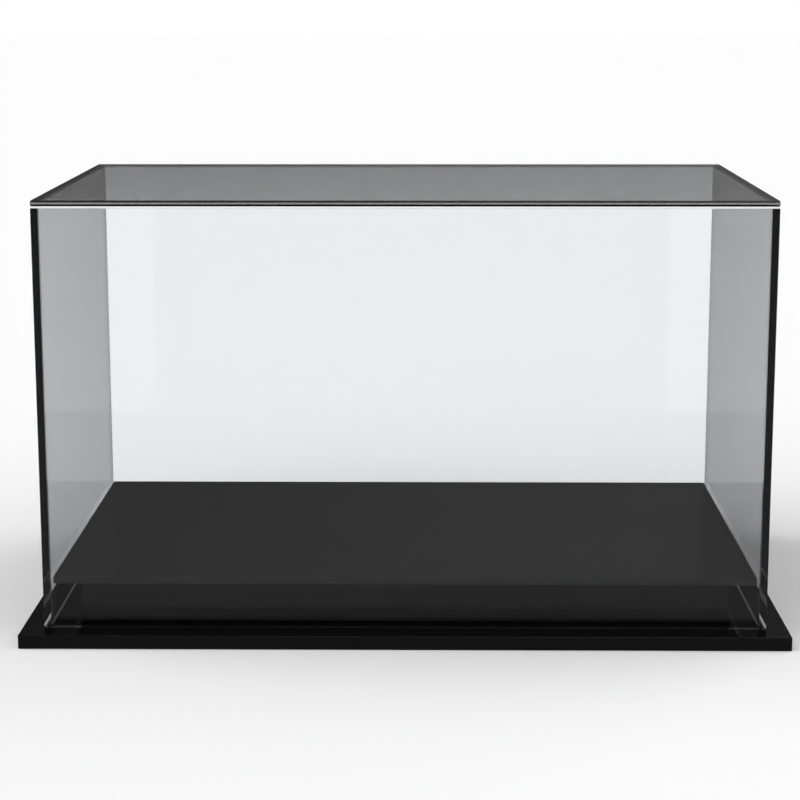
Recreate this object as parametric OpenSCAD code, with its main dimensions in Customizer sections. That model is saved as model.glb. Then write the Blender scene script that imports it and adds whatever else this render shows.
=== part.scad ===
// Clear box cover on a raised black base, for showing a ball, a glove or another keepsake.
//
// The base is a black sheet that lies on the table, four black strips on edge that make a
// frame, and a black deck cemented on the frame. The cover is five clear sheets cemented at
// their edges. It is open below, drops over the deck and stands on the base plate.
//
// Frame: origin at the centre of the base plate's underside, +Z up, the front faces -Y.

/* [Cover] */
// Outer width of the clear cover
cover_w = 387; // [320:1:460]
// Outer depth of the clear cover
cover_d = 233; // [190:1:300]
// Height from the base plate's top to the top of the roof sheet
cover_h = 229.2; // [180:0.1:300]
// Thickness of the four upright wall sheets
wall_t = 4; // [3:0.5:6]
// Thickness of the roof sheet
roof_t = 3; // [2:0.5:6]
// Thickness of the clear cement line between the walls and the roof sheet
seam_t = 1; // [0.5:0.1:2]
// How far the cement line stays back from both faces of the walls
seam_setback = 0.2; // [0:0.1:0.5]

/* [Base plate] */
// Thickness of the black base plate
plate_t = 7.3; // [5:0.1:12]
// How far the plate stands out past the cover's left and right walls
plate_side_margin = 11.5; // [5:0.5:25]
// How far the plate stands out past the cover's front and back walls
plate_front_margin = 15; // [5:0.5:30]

/* [Riser] */
// Height of the riser strips that carry the deck
riser_h = 23.2; // [10:0.1:45]
// Thickness of the riser strips
riser_t = 4; // [3:0.5:6]
// How far the riser's ends are set in from the inside of the left and right walls
riser_end_inset = 14.5; // [6:0.5:40]
// How far the riser's long sides are set in from the inside of the front and back walls
riser_front_inset = 9; // [6:0.5:40]

/* [Deck] */
// Thickness of the black deck sheet
deck_t = 4; // [3:0.5:8]
// Gap all round between the deck and the inside of the cover
deck_gap = 1.1; // [0.5:0.1:3]

/* [Finish] */
// Width of the bevels along the polished edges of the black sheets and the roof
edge_bevel = 0.4; // [0.2:0.1:1]

/* [Hidden] */

black_acrylic = "#121214";
clear_acrylic = [0.86, 0.9, 0.94, 0.3];
clear_cement = [0.97, 0.98, 1, 0.6];

// Base plate outline
plate_w = cover_w + 2 * plate_side_margin;
plate_d = cover_d + 2 * plate_front_margin;

// Space inside the four walls
inside_w = cover_w - 2 * wall_t;
inside_d = cover_d - 2 * wall_t;

// Riser outline and the level of its top
riser_w = inside_w - 2 * riser_end_inset;
riser_d = inside_d - 2 * riser_front_inset;
riser_top = plate_t + riser_h;

// Deck outline
deck_w = inside_w - 2 * deck_gap;
deck_d = inside_d - 2 * deck_gap;

// Levels of the cover's sheets
roof_bottom = plate_t + cover_h - roof_t;
wall_top = roof_bottom - seam_t;
wall_h = wall_top - plate_t;

// A sheet lying flat, centred on the Z axis, its underside at the level z
module flat_sheet(w, d, t, z) {
    translate([-w / 2, -d / 2, z])
        cube([w, d, t]);
}

// The long wedge that takes a bevel off one straight edge running along X
module bevel_cut(length) {
    side = edge_bevel * sqrt(2);
    rotate([45, 0, 0])
        cube([length, side, side], center = true);
}

// A flat sheet with bevels along the four edges at each of the levels listed
module bevelled_sheet(w, d, t, z, levels) {
    difference() {
        flat_sheet(w, d, t, z);
        for (level = levels, end = [-1, 1]) {
            translate([0, end * d / 2, level])
                bevel_cut(w + 1);
            translate([end * w / 2, 0, level])
                rotate([0, 0, 90])
                    bevel_cut(d + 1);
        }
    }
}

// A strip or wall standing on edge, its length along X, centred on the point given
module upright_along_x(length, t, h, at) {
    translate([at.x - length / 2, at.y - t / 2, at.z])
        cube([length, t, h]);
}

// The same with its length along Y
module upright_along_y(length, t, h, at) {
    translate([at.x - t / 2, at.y - length / 2, at.z])
        cube([t, length, h]);
}

// Black sheet that lies on the table and stands out past the cover all round
module base_plate() {
    color(black_acrylic)
        bevelled_sheet(plate_w, plate_d, plate_t, 0, [0, plate_t]);
}

// Long riser strip, front (side = -1) or back (side = 1)
module riser_long(side) {
    color(black_acrylic)
        upright_along_x(riser_w, riser_t, riser_h,
                        [0, side * (riser_d - riser_t) / 2, plate_t]);
}

// Short riser strip between the long ones, left (side = -1) or right (side = 1)
module riser_short(side) {
    color(black_acrylic)
        upright_along_y(riser_d - 2 * riser_t, riser_t, riser_h,
                        [side * (riser_w - riser_t) / 2, 0, plate_t]);
}

// Black sheet that the keepsake stands on, overhanging the riser all round
module deck() {
    color(black_acrylic)
        bevelled_sheet(deck_w, deck_d, deck_t, riser_top, [riser_top, riser_top + deck_t]);
}

// Long wall between the two end walls, front (side = -1) or back (side = 1)
module cover_long_wall(side) {
    color(clear_acrylic)
        upright_along_x(inside_w, wall_t, wall_h,
                        [0, side * (cover_d - wall_t) / 2, plate_t]);
}

// End wall over the full depth, left (side = -1) or right (side = 1)
module cover_end_wall(side) {
    color(clear_acrylic)
        upright_along_y(cover_d, wall_t, wall_h,
                        [side * (cover_w - wall_t) / 2, 0, plate_t]);
}

// Clear cement that fills the line between the tops of the four walls and the roof sheet
module top_cement_seam() {
    color(clear_cement)
        difference() {
            flat_sheet(cover_w - 2 * seam_setback, cover_d - 2 * seam_setback, seam_t, wall_top);
            flat_sheet(inside_w + 2 * seam_setback, inside_d + 2 * seam_setback,
                       3 * seam_t, wall_top - seam_t);
        }
}

// Roof sheet over the whole outline of the cover
module cover_roof() {
    color(clear_acrylic)
        bevelled_sheet(cover_w, cover_d, roof_t, roof_bottom, [roof_bottom, roof_bottom + roof_t]);
}

base_plate();
riser_long(-1);  // riser_front
riser_long(1);  // riser_back
riser_short(-1);  // riser_left
riser_short(1);  // riser_right
deck();
cover_long_wall(-1);  // cover_front
cover_long_wall(1);  // cover_back
cover_end_wall(-1);  // cover_left
cover_end_wall(1);  // cover_right
top_cement_seam();
cover_roof();
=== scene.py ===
"""A clear acrylic display case: a lift-off box cover on a raised, glossy black base."""

import math

import bpy
import numpy as np
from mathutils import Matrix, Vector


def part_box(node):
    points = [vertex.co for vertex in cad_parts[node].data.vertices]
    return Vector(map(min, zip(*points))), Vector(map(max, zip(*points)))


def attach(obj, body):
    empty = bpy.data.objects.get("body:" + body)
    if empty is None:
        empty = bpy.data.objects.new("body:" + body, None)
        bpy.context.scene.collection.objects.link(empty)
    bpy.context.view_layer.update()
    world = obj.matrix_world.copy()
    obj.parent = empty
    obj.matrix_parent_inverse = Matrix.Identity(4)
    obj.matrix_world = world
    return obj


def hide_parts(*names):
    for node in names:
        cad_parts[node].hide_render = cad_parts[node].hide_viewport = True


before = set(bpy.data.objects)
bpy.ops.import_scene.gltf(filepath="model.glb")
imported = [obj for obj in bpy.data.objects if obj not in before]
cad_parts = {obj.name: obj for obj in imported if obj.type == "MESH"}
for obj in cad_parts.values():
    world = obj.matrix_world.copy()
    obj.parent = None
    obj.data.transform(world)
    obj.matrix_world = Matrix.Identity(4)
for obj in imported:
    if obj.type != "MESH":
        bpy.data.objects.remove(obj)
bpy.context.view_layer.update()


# ---------------------------------------------------------------------------
# Base plate. Black cast acrylic sheet with its four edges flame polished.
# It lies flat on the table, and the cover stands on its margin.

BLACK_EDGE = 0.00025  # radius that scraping and polishing leave on the black sheets' edges
CORNER_STEPS = 5  # points round each corner of a sheet's outline
EDGE_STEPS = 5  # points across each rounding of its edges
THIN_X, THIN_Y, THIN_Z = 0, 1, 2  # the axis that a sheet's thickness lies along


def quads_between(rings, around):
    """The quads between stacked rings of points, and the ring and the step of each.

    With the points numbered along each ring in turn, a quad joins points s and s + 1 of
    ring r to points s + 1 and s of ring r + 1, and the last step leads back to the first.
    """
    ring, step = np.meshgrid(np.arange(rings - 1), np.arange(around), indexing="ij")
    first, after = ring * around, (step + 1) % around
    quads = [first + step, first + after, first + around + after, first + around + step]
    return np.stack(quads, axis=-1).reshape(-1, 4), ring, step


def closed_mesh(name, points, quads, material_index):
    """A mesh from rings of points and the quads between them, closed at both ends with one
    flat polygon each. Those two have material 0."""
    around = points.shape[1]
    lower_face = np.arange(around)[::-1]
    upper_face = (len(points) - 1) * around + np.arange(around)
    mesh = bpy.data.meshes.new(name)
    mesh.from_pydata(
        points.reshape(-1, 3).tolist(),
        [],
        quads.tolist() + [lower_face.tolist(), upper_face.tolist()],
    )
    material_index = np.concatenate([material_index, [0, 0]]).astype(np.int32)
    mesh.polygons.foreach_set("material_index", material_index)
    mesh.update()
    return mesh


def sheet_mesh(name, low, high, thin_axis, edge, foot, foot_side):
    """A flat sheet between two corners of a box, with all its edges rounded over.

    The edge's profile is carried round the outline. Over the lower rounding an angle t
    runs from 0 to 90 degrees, with inset = radius * (1 - sin t) and height over the lower
    face = radius * (1 - cos t). The upper rounding is its mirror image.
    Round the outline, a rounded rectangle is walked by its four corner arcs, and a point
    lies at the arc's centre plus (corner radius - inset) * (cos a, sin a).
    The radius is edge. On the foot's side, -1 for the lower face or 1 for the upper, it
    grows where the outline's direction (cos a, sin a) points down: radius = edge + (foot -
    edge) * the downward share of that direction. A corner reaches half an edge radius past
    its widest rounding; beside the foot it is as high as the foot and as wide as a plain one.
    """
    low, high = np.array(low, float), np.array(high, float)
    centre, size = (low + high) / 2, high - low
    # the sheet's own axes u, v (in its plane) and w (through it), kept right-handed
    u, v, w = (thin_axis + 1) % 3, (thin_axis + 2) % 3, thin_axis
    half_w = size[w] / 2

    quarter = np.linspace(0, np.pi / 2, CORNER_STEPS)
    arc = (quarter + np.arange(4)[:, None] * np.pi / 2).ravel()
    outward = np.zeros((len(arc), 3))
    outward[:, u], outward[:, v] = np.cos(arc), np.sin(arc)
    down = np.clip(-outward[:, 2], 0, 1)
    footed, plain = edge + (foot - edge) * down, np.full(len(arc), edge)
    lower = footed if foot_side < 0 else plain
    upper = footed if foot_side > 0 else plain
    # all the points of one corner turn with the radius of its widest rounding
    widest = np.maximum(lower, upper).reshape(4, CORNER_STEPS).max(axis=1)
    corner = np.repeat(widest, CORNER_STEPS) + edge / 2
    plain_corner = edge + edge / 2

    turn = np.linspace(0, np.pi / 2, EDGE_STEPS)[:, None]
    inset = np.concatenate([lower * (1 - np.sin(turn)), upper * (1 - np.cos(turn))])
    plain_inset = edge * np.concatenate([1 - np.sin(turn), 1 - np.cos(turn)])
    height = np.concatenate(
        [-half_w + lower * (1 - np.cos(turn)), half_w - upper * (1 - np.sin(turn))]
    )
    points = np.zeros((len(inset), len(arc), 3))
    # sides says on which side of the sheet's middle each of the four corners lies
    for axis, sides in ((u, (1, -1, -1, 1)), (v, (1, 1, -1, -1))):
        radius, drawn = (corner, inset) if axis == 2 else (plain_corner, plain_inset)
        points[..., axis] = np.repeat(sides, CORNER_STEPS) * (size[axis] / 2 - radius)
        points[..., axis] += (radius - drawn) * outward[:, axis]
    points[..., w] = height
    points += centre

    quads, ring, step = quads_between(len(inset), len(arc))
    # material 1 is the rim, and 2 the foot's rounding
    mostly_down = (down + np.roll(down, -1)) / 2 > np.sin(np.pi / 4)
    on_its_side = foot_side * (ring - (EDGE_STEPS - 1)) > 0
    mesh = closed_mesh(name, points, quads, np.where(on_its_side & mostly_down, 2, 1).ravel())
    # only the roundings are shaded smooth: the faces and the rim's straight runs stay flat
    straight = (ring == EDGE_STEPS - 1) & (step % CORNER_STEPS == CORNER_STEPS - 1)
    mesh.polygons.foreach_set("use_smooth", np.append(~straight.ravel(), [False, False]))
    return mesh


def put_in_place(name, mesh, node, body, finishes):
    """A piece instead of its CAD node, with its finishes, riding on its body."""
    piece = bpy.data.objects.new(name, mesh)
    bpy.context.scene.collection.objects.link(piece)
    for finish in finishes:
        mesh.materials.append(finish)
    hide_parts(node)
    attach(piece, body)


def sheet_piece(name, node, body, thin_axis, finishes, edge, foot=0, foot_side=0,
                draw_in=(0, 0, 0), lift=(0, 0, 0)):
    """One sheet, drawn in by a hair along each axis where it meets a neighbour, with its
    lower side lifted by a hair. The finishes are those of its two faces, of its rim and,
    where it has one, of its foot."""
    low, high = (np.array(corner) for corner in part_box(node))
    low, high = low + draw_in + lift, high - draw_in
    mesh = sheet_mesh(name, low, high, thin_axis, edge, foot, foot_side)
    put_in_place(name, mesh, node, body, finishes)


ACRYLIC_IOR = 1.49


def acrylic_nodes(name, grey, ior=ACRYLIC_IOR):
    """A new material of one grey, its node tree, and its Principled shader."""
    made = bpy.data.materials.new(name)
    made.use_nodes = True
    tree = made.node_tree
    shader = tree.nodes["Principled BSDF"]
    shader.inputs["Base Color"].default_value = (grey, grey, grey, 1)
    shader.inputs["IOR"].default_value = ior
    return made, tree, shader


def feed(tree, value, socket):
    """Gives a socket another node's output, or a plain value."""
    if isinstance(value, bpy.types.NodeSocket):
        tree.links.new(value, socket)
    else:
        socket.default_value = value


NOISE_RANGE = (0.3, 0.7)  # where nearly all of a noise's values lie


def unevenness(tree, scale, detail, stretch=(1, 1, 1)):
    """Noise with about scale patches a metre, on the piece's own place in space. It changes
    more slowly along an axis whose stretch is under 1."""
    coordinates = tree.nodes.new("ShaderNodeTexCoord")
    mapping = tree.nodes.new("ShaderNodeMapping")
    mapping.inputs["Scale"].default_value = stretch
    noise = tree.nodes.new("ShaderNodeTexNoise")
    noise.inputs["Scale"].default_value = scale
    noise.inputs["Detail"].default_value = detail
    tree.links.new(coordinates.outputs["Object"], mapping.inputs["Vector"])
    tree.links.new(mapping.outputs["Vector"], noise.inputs["Vector"])
    return noise.outputs["Fac"]


def span(tree, value, low, high, between=NOISE_RANGE):
    """Maps a value from between two limits onto the range from low to high, whose ends it
    doesn't pass."""
    ranged = tree.nodes.new("ShaderNodeMapRange")
    from_low, from_high = between
    for socket, limit in (("From Min", from_low), ("From Max", from_high),
                          ("To Min", low), ("To Max", high)):
        feed(tree, limit, ranged.inputs[socket])
    tree.links.new(value, ranged.inputs["Value"])
    return ranged.outputs["Result"]


def relief(tree, shader, value, height):
    """Shades the surface as if raised by height metres where value is 1."""
    node = tree.nodes.new("ShaderNodeBump")
    node.inputs["Distance"].default_value = height
    tree.links.new(value, node.inputs["Height"])
    tree.links.new(node.outputs["Normal"], shader.inputs["Normal"])


WIPED_PATCHES = 22  # patches a metre of handling haze on the black sheets
CAST_GLOSS = (0.012, 0.03)  # roughness of a cast face where it is clean and where it is hazed
CAST_WAVES = 14  # waves a metre that the casting leaves
CAST_WAVE_HEIGHT = 0.00003
SAW_LINES = 900  # saw lines a metre
SAW_LINE_HEIGHT = 0.000002
SAWN_ACROSS_LEVEL = (1, 1, 0.05)  # draws the saw lines out upright, across a level sheet's rim
POLISHED_RIM_ROUGH = (0.05, 0.11)  # roughness along the saw lines of a flame-polished black rim


def black_face_material(name, black):
    """The cast face of black acrylic: glassy, with the faint long waves of a cast sheet
    and a trace of handling haze."""
    made, tree, shader = acrylic_nodes(name, black)
    haze = unevenness(tree, WIPED_PATCHES, detail=3)
    tree.links.new(span(tree, haze, *CAST_GLOSS), shader.inputs["Roughness"])
    relief(tree, shader, unevenness(tree, CAST_WAVES, detail=1), CAST_WAVE_HEIGHT)
    return made


def black_rim_material(name, black):
    """A flame-polished cut edge of black acrylic, with soft saw lines across it."""
    made, tree, shader = acrylic_nodes(name, black)
    saw = unevenness(tree, SAW_LINES, detail=2, stretch=SAWN_ACROSS_LEVEL)
    tree.links.new(span(tree, saw, *POLISHED_RIM_ROUGH), shader.inputs["Roughness"])
    relief(tree, shader, saw, SAW_LINE_HEIGHT)
    return made


PLATE_BLACK, RIM_BLACK = 0.0022, 0.0015
BLACK_RIM = black_rim_material("black_acrylic_rim", RIM_BLACK)
PLATE_FINISHES = (black_face_material("black_acrylic_face", PLATE_BLACK), BLACK_RIM)

sheet_piece("black_base_plate", "base_plate", "base", THIN_Z, PLATE_FINISHES,
            BLACK_EDGE)


# ---------------------------------------------------------------------------
# Riser. Four black acrylic strips on edge, cemented to the plate as an open
# frame: two long ones, and two short ones butted between them.

GLUE_LINE = 0.00004  # a cemented joint's thickness
# Painted light: the riser's black is made lighter than the plate's, to make up for the lamp
# light that the clear cover keeps from reaching it.
RISER_BLACK_WITH_PAINTED_LIGHT = 0.030
RISER_FINISHES_WITH_PAINTED_LIGHT = (black_face_material("riser_acrylic_face_painted_light", RISER_BLACK_WITH_PAINTED_LIGHT), BLACK_RIM)

for end in ("front", "back"):
    sheet_piece(f"black_riser_{end}", f"riser_{end}", "base", THIN_Y,
                RISER_FINISHES_WITH_PAINTED_LIGHT, BLACK_EDGE, draw_in=(0, 0, GLUE_LINE))
for end in ("left", "right"):
    sheet_piece(f"black_riser_{end}", f"riser_{end}", "base", THIN_X,
                RISER_FINISHES_WITH_PAINTED_LIGHT, BLACK_EDGE, draw_in=(0, GLUE_LINE, GLUE_LINE))


# ---------------------------------------------------------------------------
# Deck. Black acrylic sheet cemented on the riser, which it overhangs all round.
# The keepsake stands on it, and its edges keep the cover in place.

# Painted light: the deck's face and, far more, its rim are made lighter than the plate's black,
# to make up for the lamp light that the clear cover keeps from reaching them.
DECK_BLACK_WITH_PAINTED_LIGHT, DECK_RIM_BLACK_WITH_PAINTED_LIGHT = 0.02, 0.080
DECK_HAZE = 0.40  # roughness of the haze that wiping leaves under the gloss
DECK_HAZE_LEVEL = 0.6  # how strongly it mirrors; 0.5 is a plain face


def hazed_face_material(name, black):
    """Black acrylic that is often wiped: the sharp mirror of the cast face, over a broad
    haze of very fine scratches that catches the surround."""
    made, tree, shader = acrylic_nodes(name, black)
    shader.inputs["Roughness"].default_value = DECK_HAZE
    shader.inputs["Specular IOR Level"].default_value = DECK_HAZE_LEVEL
    shader.inputs["Coat Weight"].default_value = 1
    shader.inputs["Coat IOR"].default_value = ACRYLIC_IOR
    haze = unevenness(tree, WIPED_PATCHES, detail=3)
    tree.links.new(span(tree, haze, *CAST_GLOSS), shader.inputs["Coat Roughness"])
    return made


DECK_FINISHES_WITH_PAINTED_LIGHT = (
    hazed_face_material("deck_acrylic_face_painted_light", DECK_BLACK_WITH_PAINTED_LIGHT),
    black_rim_material("deck_acrylic_rim_painted_light", DECK_RIM_BLACK_WITH_PAINTED_LIGHT),
)

sheet_piece("black_deck", "deck", "base", THIN_Z, DECK_FINISHES_WITH_PAINTED_LIGHT, BLACK_EDGE)


# ---------------------------------------------------------------------------
# Cover walls. Clear cast acrylic with polished edges: the end walls run the full
# depth, and the front and back walls are cemented between them.

SEAT_GAP = 0.00005  # air under the loose cover's lower edge
WALL_EDGE = 0.0001
WALL_FOOT = 0.0013  # the end walls' outer lower edges are scraped round and left frosted
WALL_RIM_ROUGH = (0.02, 0.05)  # roughness along the saw lines of the walls' polished rims
WALL_RIM_CLEAR = 0.992  # and how clear they are
FROSTED_STEEP = 0.05  # how white the frosted edges look from straight on
# The change along the wall is painted light: the frosted edge is made whiter near the wall's
# ends than half way along, where less light reaches it.
FROSTED_SLANT_WITH_PAINTED_ENDS = (0.20, 1.0)  # and when looked along, half way along the wall and at its ends
FROSTED_PAINTED_LIGHT_ENDS = (0.055, 0.080)  # distances from half way between which that changes
FROSTED_TURN = (0.5, 0.85)  # slants of view, of 1 for edge on, between which they turn white
FROSTED_CLEAR = 0.2  # share of the light that gets through the rest of such an edge
FROSTED_ROUGH = 0.4
CLEAR_TINT = (0.985, 0.988, 1.0)  # colour that the light takes on through a sheet
SLANT_LOSS = 0.165  # share of it that is lost towards a grazing view, through more sheet
CLEAR_PATCHES = 18  # patches a metre of wiping haze
CLEAR_GLOSS = (0.0, 0.008)  # roughness where a face is clean and where it is hazed
FINE_SAW_LINES = 2500  # saw lines a metre
FINE_SAW_RANGE = (0.47, 0.60)  # the part of their noise that turns clear into rough
SAWN_ACROSS_UPRIGHT = (0.05, 0.05, 1)  # draws the saw lines out level, across upright rims


def slant_of_view(tree):
    """0 where a surface is seen from straight on, up to 1 where it is seen edge on."""
    return tree.nodes.new("ShaderNodeLayerWeight").outputs["Facing"]


def one_axis(tree, vector, axis):
    """A vector's value along one axis."""
    split = tree.nodes.new("ShaderNodeSeparateXYZ")
    tree.links.new(vector, split.inputs[0])
    return split.outputs[axis]


def calculate(tree, operation, *values):
    """The result of a sum on plain numbers or on other nodes' outputs."""
    node = tree.nodes.new("ShaderNodeMath")
    node.operation = operation
    for value, socket in zip(values, node.inputs):
        feed(tree, value, socket)
    return node.outputs["Value"]


def mixed(tree, data_type, factor, at_0, at_1):
    """Goes over from one value to another as factor goes from 0 to 1."""
    node = tree.nodes.new("ShaderNodeMix")
    node.data_type = data_type
    for socket, value in (("Factor", factor), ("A", at_0), ("B", at_1)):
        feed(tree, value, node.inputs[socket])
    return node.outputs["Result"]


def clear_face_material(name):
    """The cast face of clear acrylic: water clear, with a trace of wiping haze."""
    made, tree, shader = acrylic_nodes(name, 1)
    steep = (*CLEAR_TINT, 1)
    grazing = (*(c * (1 - SLANT_LOSS) for c in CLEAR_TINT), 1)
    tint = mixed(tree, "RGBA", slant_of_view(tree), steep, grazing)
    tree.links.new(tint, shader.inputs["Base Color"])
    shader.inputs["Transmission Weight"].default_value = 1
    haze = unevenness(tree, CLEAR_PATCHES, detail=3)
    tree.links.new(span(tree, haze, *CLEAR_GLOSS), shader.inputs["Roughness"])
    return made


def clear_rim_material(name, rough, lines, clear=1, white=1):
    """A cut edge of clear acrylic, between two roughnesses along its saw lines, which
    change fast along the axes where lines is 1. The share that isn't clear is matt, and
    white is its colour and that of the light let through."""
    made, tree, shader = acrylic_nodes(name, white)
    shader.inputs["Transmission Weight"].default_value = clear
    saw = unevenness(tree, FINE_SAW_LINES, detail=1, stretch=lines)
    tree.links.new(span(tree, saw, *rough, FINE_SAW_RANGE), shader.inputs["Roughness"])
    return made


def frosted_edge_material(name):
    """A scraped edge of clear acrylic. A share of it spreads the light that falls on it,
    so that it shines inside the sheet: more in a slanting view, and, as painted light, more
    near the ends than half way along the wall, where less light reaches the edge."""
    made, tree, shader = acrylic_nodes(name, FROSTED_CLEAR)
    shader.inputs["Transmission Weight"].default_value = 1
    shader.inputs["Roughness"].default_value = FROSTED_ROUGH
    frost = tree.nodes.new("ShaderNodeBsdfTranslucent")
    frost.inputs["Color"].default_value = (1, 1, 1, 1)
    place = tree.nodes.new("ShaderNodeTexCoord").outputs["Object"]
    # painted light: the share when looked along grows from half way along the wall towards its
    # ends
    from_middle = calculate(tree, "ABSOLUTE", one_axis(tree, place, "Y"))
    slant_share_with_painted_ends = span(tree, from_middle, *FROSTED_SLANT_WITH_PAINTED_ENDS, FROSTED_PAINTED_LIGHT_ENDS)
    share = span(tree, slant_of_view(tree), FROSTED_STEEP, slant_share_with_painted_ends, FROSTED_TURN)
    mix = tree.nodes.new("ShaderNodeMixShader")
    tree.links.new(share, mix.inputs["Fac"])
    tree.links.new(shader.outputs["BSDF"], mix.inputs[1])
    tree.links.new(frost.outputs["BSDF"], mix.inputs[2])
    tree.links.new(mix.outputs["Shader"], tree.nodes["Material Output"].inputs["Surface"])
    return made


CLEAR_FACE = clear_face_material("clear_acrylic_face")
WALL_FINISHES = (
    CLEAR_FACE,
    clear_rim_material("clear_acrylic_rim", WALL_RIM_ROUGH, SAWN_ACROSS_UPRIGHT, WALL_RIM_CLEAR),
)
END_WALL_FINISHES = (*WALL_FINISHES, frosted_edge_material("clear_acrylic_foot"))

for end in ("front", "back"):
    sheet_piece(f"clear_wall_{end}", f"cover_{end}", "cover", THIN_Y,
                WALL_FINISHES, WALL_EDGE, draw_in=(GLUE_LINE, 0, 0), lift=(0, 0, SEAT_GAP))
for end, outer_side in (("left", -1), ("right", 1)):
    sheet_piece(f"clear_wall_{end}", f"cover_{end}", "cover", THIN_X,
                END_WALL_FINISHES, WALL_EDGE, WALL_FOOT, outer_side, lift=(0, 0, SEAT_GAP))


# ---------------------------------------------------------------------------
# Cement line. Clear cement about 1 mm high that was run in between the wall tops
# and the roof, and shows as a bright line round the case.

CEMENT_IOR = 1.4
CEMENT_OUTSIDE_CLEAR = 0.05  # how clear its outer faces are
CEMENT_CLOUDS = 160  # clouds a metre
CEMENT_ROUGH = (0.02, 0.12)  # roughness between the clouds and in them


def cement_material(name):
    """Cured clear cement, a little cloudy. Its drawn-back outer faces are almost opaque matt
    white; above and below, where the cement wets the sheets, it is clear."""
    made, tree, shader = acrylic_nodes(name, 1, CEMENT_IOR)
    direction = tree.nodes.new("ShaderNodeNewGeometry").outputs["True Normal"]
    level = calculate(tree, "ABSOLUTE", one_axis(tree, direction, "Z"))
    clear = span(tree, level, CEMENT_OUTSIDE_CLEAR, 1, between=(0, 1))
    tree.links.new(clear, shader.inputs["Transmission Weight"])
    cloud = unevenness(tree, CEMENT_CLOUDS, detail=3)
    tree.links.new(span(tree, cloud, *CEMENT_ROUGH), shader.inputs["Roughness"])
    return made


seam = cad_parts["top_cement_seam"]
seam.data.materials.clear()
seam.data.materials.append(cement_material("clear_cement"))


# ---------------------------------------------------------------------------
# Roof. Clear acrylic sheet over the cover's whole outline, cemented on the walls.
# Its rim is left as sawn, with a flat bevel along each edge; the front's two bevels are darkened
# as painted shade.

ROOF_BEVEL = 0.0010  # height of the bevels
ROOF_DRAWN_IN = (0.0003, 0.0010)  # and how far they go in, at the ends and along the front
# Painted shade: the front's two bevels let less light through than the rest of the rim, so that
# they show as dark lines along the roof's front edge.
ROOF_FRONT_BEVEL_PAINTED_SHADE = 0.4  # share of the light that the front's two bevels let through
ROOF_BEVEL_ROUGH = (0.02, 0.10)
ROOF_RIM_ROUGH = (0.15, 0.25)  # roughness of the rest of the rim along its saw lines
ROOF_RIM_CLEAR = 0.82  # and how clear it is


def bevelled_sheet_mesh(name, low, high, bevel, drawn_in):
    """A level sheet between two corners of a box, with flat bevels along its edges.

    Four outlines are stacked: at the underside and the top they are drawn in along each
    axis, and one bevel further in height they have the sheet's full length and width.
    """
    low, high = np.array(low, float), np.array(high, float)
    corners = np.array([(1, 1), (-1, 1), (-1, -1), (1, -1)])
    middle, half = (low + high)[:2] / 2, (high - low)[:2] / 2
    levels = np.array([low[2], low[2] + bevel, high[2] - bevel, high[2]])
    is_drawn_in = np.array([1, 0, 0, 1])[:, None, None]
    points = np.zeros((len(levels), len(corners), 3))
    points[..., :2] = middle + corners * (half - is_drawn_in * np.array(drawn_in))
    points[..., 2] = levels[:, None]
    quads, ring, step = quads_between(len(levels), len(corners))
    # step 2 runs along the front, whose two bevels have material 2, darkened as painted shade;
    # the rest of the rim has 1
    shaded_front_bevel = (step == 2) & (ring != 1)
    return closed_mesh(name, points, quads, np.where(shaded_front_bevel, 2, 1).ravel())


ROOF_FINISHES = (
    CLEAR_FACE,
    clear_rim_material("roof_acrylic_rim", ROOF_RIM_ROUGH, SAWN_ACROSS_LEVEL, ROOF_RIM_CLEAR),
    clear_rim_material("roof_front_bevel_painted_shade", ROOF_BEVEL_ROUGH, SAWN_ACROSS_LEVEL,
                       white=ROOF_FRONT_BEVEL_PAINTED_SHADE),
)
roof_low, roof_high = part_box("cover_roof")
roof_mesh = bevelled_sheet_mesh("clear_roof", np.array(roof_low) + (0, 0, GLUE_LINE),
                                roof_high, ROOF_BEVEL, ROOF_DRAWN_IN)
put_in_place("clear_roof", roof_mesh, "cover_roof", "cover", ROOF_FINISHES)


# ---------------------------------------------------------------------------
# Studio. A pale floor and a white surround. The surround is white to the eye and
# through the clear sheets, and dim in reflections, as if only the backdrop were lit.

PAINTED_POOL_RADIUS = 1.6  # distance over which the floor, as mirrored, fades to about a third
PAINTED_POOL_WHITE = 0.20  # how white it is there in the middle
FLOOR_WHITE = 0.98
FLOOR_HALF = 14.0
FLOOR_GAP = 0.0002  # air under the case


def light_path_test(tree, depth, operation, against):
    """1 or 0 from how often a ray has been mirrored, or scattered, on its way."""
    path = tree.nodes.new("ShaderNodeLightPath")
    return calculate(tree, operation, path.outputs[depth], against)


def floor_material(name):
    """Matt pale floor. In the acrylic's mirrors its colour is a painted pool of light instead,
    which fades with distance.
    """
    made = bpy.data.materials.new(name)
    made.use_nodes = True
    tree = made.node_tree
    shader = tree.nodes["Principled BSDF"]
    shader.inputs["Roughness"].default_value = 1
    shader.inputs["Specular IOR Level"].default_value = 0
    length = tree.nodes.new("ShaderNodeVectorMath")
    length.operation = "LENGTH"
    place = tree.nodes.new("ShaderNodeTexCoord").outputs["Object"]
    tree.links.new(place, length.inputs[0])
    # painted light: as mirrored, the floor's colour is a pool of light, brightest in the middle
    # and fading with distance
    radii = calculate(tree, "MULTIPLY", length.outputs["Value"], -1 / PAINTED_POOL_RADIUS)
    pool = calculate(tree, "MULTIPLY", calculate(tree, "EXPONENT", radii), PAINTED_POOL_WHITE)
    # a ray mirrored twice inside a sheet leaves it the way it came in, so only odd counts fade
    mirrored = light_path_test(tree, "Glossy Depth", "MODULO", 2)
    white = (FLOOR_WHITE, FLOOR_WHITE, FLOOR_WHITE, 1)
    tree.links.new(mixed(tree, "RGBA", mirrored, white, pool), shader.inputs["Base Color"])
    return made


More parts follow.
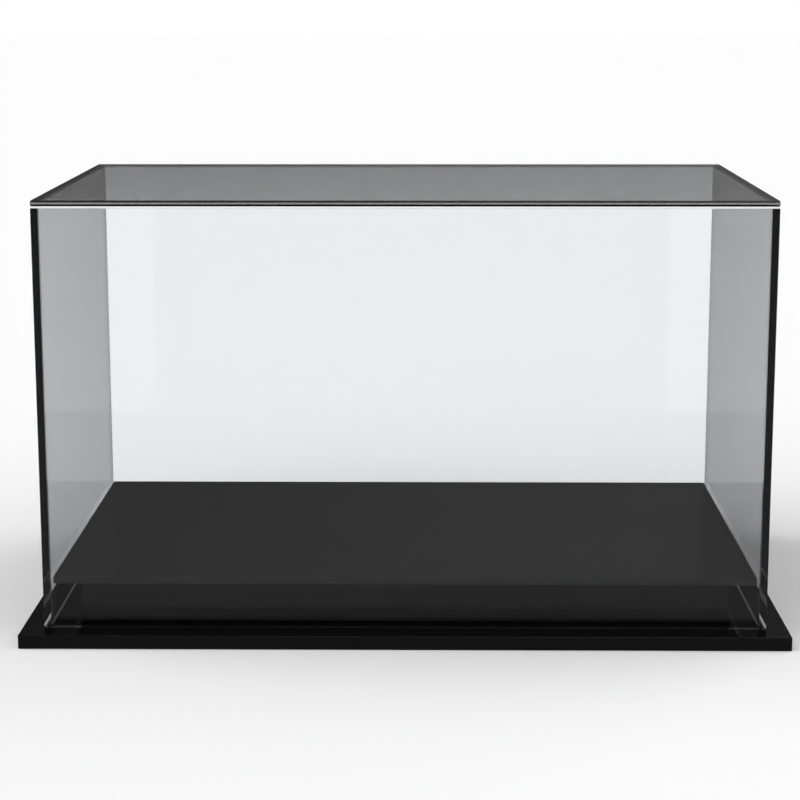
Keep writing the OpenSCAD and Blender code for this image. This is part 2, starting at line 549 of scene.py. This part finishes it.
floor_mesh = bpy.data.meshes.new("studio_floor")
floor_corners = FLOOR_HALF * np.array([(-1, -1, 0), (1, -1, 0), (1, 1, 0), (-1, 1, 0)])
floor_mesh.from_pydata(floor_corners.tolist(), [], [(0, 1, 2, 3)])
floor_mesh.materials.append(floor_material("pale_floor"))
floor = bpy.data.objects.new("studio_floor", floor_mesh)
bpy.context.scene.collection.objects.link(floor)
floor.location.z = -FLOOR_GAP

SKY_LIGHT = 0.17  # what the surround gives to matt surfaces
# how bright the surround mirrors at each height above or below the horizon, in degrees
GLOW = {0: 0.04, 5: 0.08, 14: 0.045, 30: 0.15, 90: 0.75}
GLOW_TO_THE_RIGHT = 1.6  # share by which it grows from straight ahead to the far right


def mirrored_glow(tree):
    """The surround's brightness in a mirror: the GLOW curve on a direction's height, times
    1 + GLOW_TO_THE_RIGHT * its sideways share, and never under 0."""
    direction = tree.nodes.new("ShaderNodeTexCoord").outputs["Generated"]
    curve_node = tree.nodes.new("ShaderNodeFloatCurve")
    curve = curve_node.mapping.curves[0]
    horizon, *between, overhead = GLOW
    curve.points[0].location = (0, GLOW[horizon])
    curve.points[1].location = (1, GLOW[overhead])
    for degrees in between:
        curve.points.new(math.sin(math.radians(degrees)), GLOW[degrees])
    curve_node.mapping.update()
    height = calculate(tree, "ABSOLUTE", one_axis(tree, direction, "Z"))
    tree.links.new(height, curve_node.inputs["Value"])
    sideways = one_axis(tree, direction, "X")
    sided = calculate(tree, "MULTIPLY_ADD", sideways, GLOW_TO_THE_RIGHT, 1)
    glow = calculate(tree, "MULTIPLY", curve_node.outputs["Value"], sided)
    return calculate(tree, "MAXIMUM", glow, 0)


world = bpy.data.worlds.new("studio_surround")
bpy.context.scene.world = world
world.use_nodes = True
sky = world.node_tree
mirrored = light_path_test(sky, "Glossy Depth", "GREATER_THAN", 0)
matt = light_path_test(sky, "Diffuse Depth", "GREATER_THAN", 0)
seen = mixed(sky, "FLOAT", mirrored, 1, mirrored_glow(sky))
background = sky.nodes["Background"]
background.inputs["Color"].default_value = (1, 1, 1, 1)
sky.links.new(mixed(sky, "FLOAT", matt, seen, SKY_LIGHT), background.inputs["Strength"])


def broad_light(name, from_direction, spread, strength):
    """A broad, even light from far off: a sun whose disc is spread degrees wide. strength
    is the brightness that it alone gives to a white level floor. No mirror shows it."""
    lamp = bpy.data.lights.new(name, "SUN")
    lamp.angle = math.radians(spread)
    x, y, up = np.array(from_direction, float) / np.linalg.norm(from_direction)
    lamp.energy = math.pi * strength / up
    holder = bpy.data.objects.new(name, lamp)
    bpy.context.scene.collection.objects.link(holder)
    holder.rotation_euler = (math.acos(up), 0, math.atan2(y, x) + math.pi / 2)
    holder.visible_glossy = False
    holder.visible_transmission = False


broad_light("right_light", from_direction=(2.14, 0, 1), spread=120, strength=0.27)
broad_light("front_left_light", from_direction=(-1.24, -0.71, 1), spread=90, strength=0.305)
broad_light("left_light", from_direction=(-1, 0, 1), spread=60, strength=0.187)


# ---------------------------------------------------------------------------
# Camera. It stands 1.2 m before the middle of the case and a little above its roof,
# and looks 11 degrees down.

CAMERA_PLACE = (0.0121, -1.2003, 0.3431)
CAMERA_TURN = (78.976, 0.045, 0.752)  # degrees; 90 first would be level
LENS, SENSOR = 94.72, 36  # mm

camera_data = bpy.data.cameras.new("view_camera")
camera = bpy.data.objects.new("view_camera", camera_data)
bpy.context.scene.collection.objects.link(camera)
camera.location = CAMERA_PLACE
camera.rotation_euler = [math.radians(degrees) for degrees in CAMERA_TURN]
camera_data.lens = LENS
camera_data.sensor_width = SENSOR
camera_data.clip_start = 0.05
camera_data.clip_end = 100
bpy.context.scene.camera = camera

bpy.context.scene.view_settings.view_transform = "Standard"
